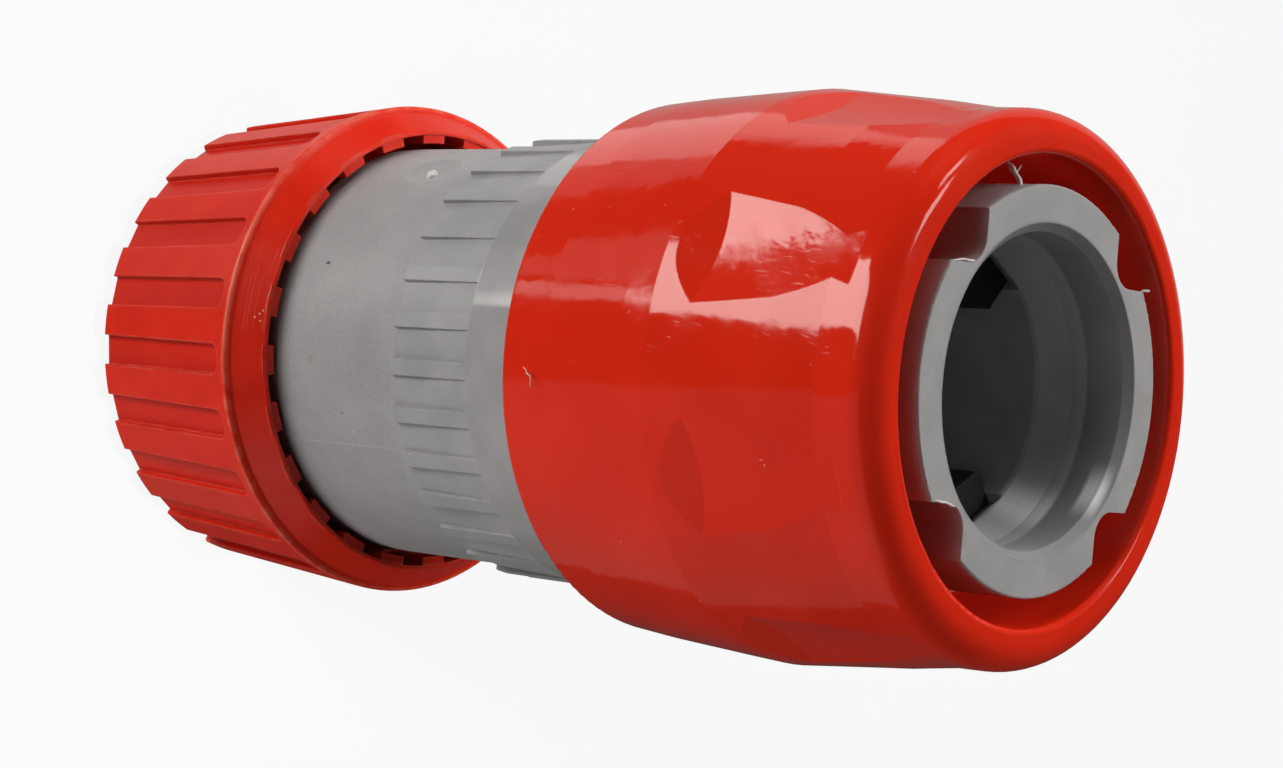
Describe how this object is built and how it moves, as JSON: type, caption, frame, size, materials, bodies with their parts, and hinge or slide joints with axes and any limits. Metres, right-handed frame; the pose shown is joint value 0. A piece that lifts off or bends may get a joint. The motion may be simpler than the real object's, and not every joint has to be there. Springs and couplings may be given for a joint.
{
  "type": "garden hose quick connector",
  "caption": "Click-on garden hose connector: open socket with locking claws inside a sliding sleeve, ribbed barrel, and a fluted nut that grips the hose.",
  "frame": {"origin": "on the connector's axis at the back face of the hose nut, on which it stands", "axes": "+Z along the axis out of the socket's mouth; +Y runs through the first of the three claws"},
  "size_m": [0.0422, 0.0422, 0.0811],
  "materials": {
    "red_gloss": "glossy moulded",
    "grey_satin": "satin moulded",
    "grey_matte": "fine matte moulded",
    "black_matte": "matte moulded",
    "spring_steel": "bright drawn wire",
    "seal_rubber": "moulded",
    "white_acetal": "satin moulded"
  },
  "bodies": {
    "connector": {"socket_body": "grey_satin", "hose_tail": "grey_matte", "joint_seal": "seal_rubber", "return_spring": "spring_steel"},
    "sleeve": {"lock_sleeve": "red_gloss"},
    "claw_1": {"claw_1": "black_matte"},
    "claw_2": {"claw_2": "black_matte"},
    "claw_3": {"claw_3": "black_matte"},
    "grip": {"grip_collet": "white_acetal"},
    "nut": {"hose_nut": "red_gloss"}
  },
  "joints": [
    {"name": "sleeve_slide", "type": "slide", "parent": "connector", "child": "sleeve", "axis": [0, 0, -1], "range_m": [0, 0.004], "stiffness_N_per_m": 2500, "springref_m": -0.004, "deforming": ["return_spring"]},
    {"name": "claw_1_slide", "type": "slide", "parent": "connector", "child": "claw_1", "axis": [0, 0.4695, -0.8829], "range_m": [0, 0.00454]},
    {"name": "claw_2_slide", "type": "slide", "parent": "connector", "child": "claw_2", "axis": [-0.4066, -0.2347, -0.8829], "range_m": [0, 0.00454]},
    {"name": "claw_3_slide", "type": "slide", "parent": "connector", "child": "claw_3", "axis": [0.4066, -0.2347, -0.8829], "range_m": [0, 0.00454]},
    {"name": "grip_slide", "type": "slide", "parent": "connector", "child": "grip", "axis": [0, 0, -1], "range_m": [0, 0.00401]},
    {"name": "nut_turn", "type": "hinge", "parent": "grip", "child": "nut", "pos_m": [0, 0, 0.012], "axis": [0, 0, -1], "range_deg": [0, 360]}
  ],
  "couplings": [
    {"joint": "claw_1_slide", "follows": "sleeve_slide", "ratio": 1.1326},
    {"joint": "claw_2_slide", "follows": "sleeve_slide", "ratio": 1.1326},
    {"joint": "claw_3_slide", "follows": "sleeve_slide", "ratio": 1.1326},
    {"joint": "grip_slide", "follows": "nut_turn", "m_per_rad": 0.00063662}
  ]
}
